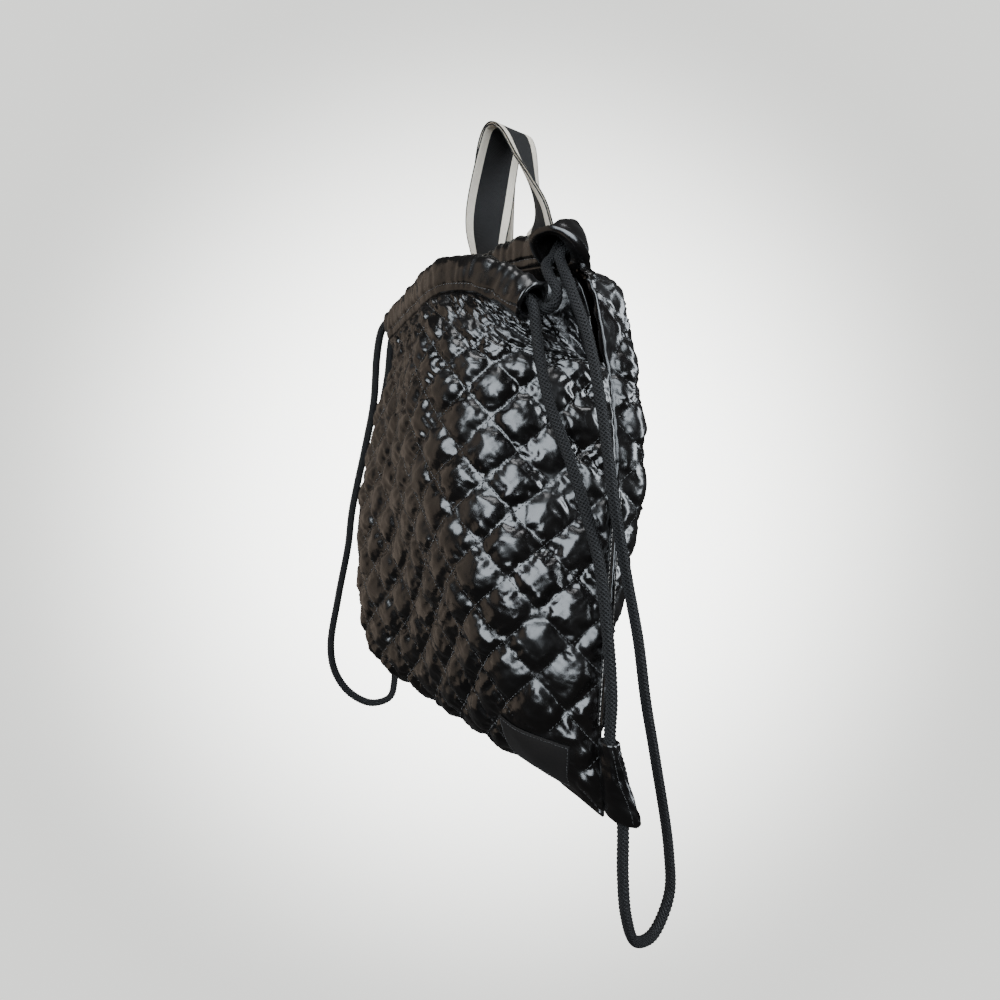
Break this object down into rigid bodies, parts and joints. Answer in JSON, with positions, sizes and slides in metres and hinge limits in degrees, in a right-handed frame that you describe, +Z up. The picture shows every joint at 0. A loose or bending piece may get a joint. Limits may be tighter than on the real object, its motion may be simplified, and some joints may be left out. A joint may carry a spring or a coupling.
{
  "type": "quilted drawstring backpack",
  "caption": "Padded quilted drawstring backpack with a gathered mouth, cord straps through corner tabs and a webbing handle, hanging.",
  "frame": {"origin": "where the handle's inner webbing rests on a hook, at the underside of its top bend", "axes": "+Z up along the hanging bag, -Y out of the bag's front panel, +X towards the side seam with the label"},
  "size_m": [0.4239, 0.1534, 0.6791],
  "materials": {
    "quilted_nylon": "glossy black quilted nylon, finely puckered along its stitching",
    "webbing": "flat woven strap, black with a pale stripe at each edge",
    "cord": "matte charcoal braid with two raised ribs",
    "label": "matte dark brown-black patch with stitched edges, left bare"
  },
  "bodies": {
    "root": {"front_panel": "quilted_nylon", "back_panel": "quilted_nylon", "front_casing": "quilted_nylon", "back_casing": "quilted_nylon", "handle_inner": "webbing", "handle_outer": "webbing", "right_corner_tab": "quilted_nylon", "left_corner_tab": "quilted_nylon", "right_seam_binding": "quilted_nylon", "left_seam_binding": "quilted_nylon", "label_patch": "label", "right_strap_cord": "cord", "left_strap_cord": "cord", "right_cord_in_casings": "cord", "left_cord_in_casings": "cord"}
  },
  "joints": []
}
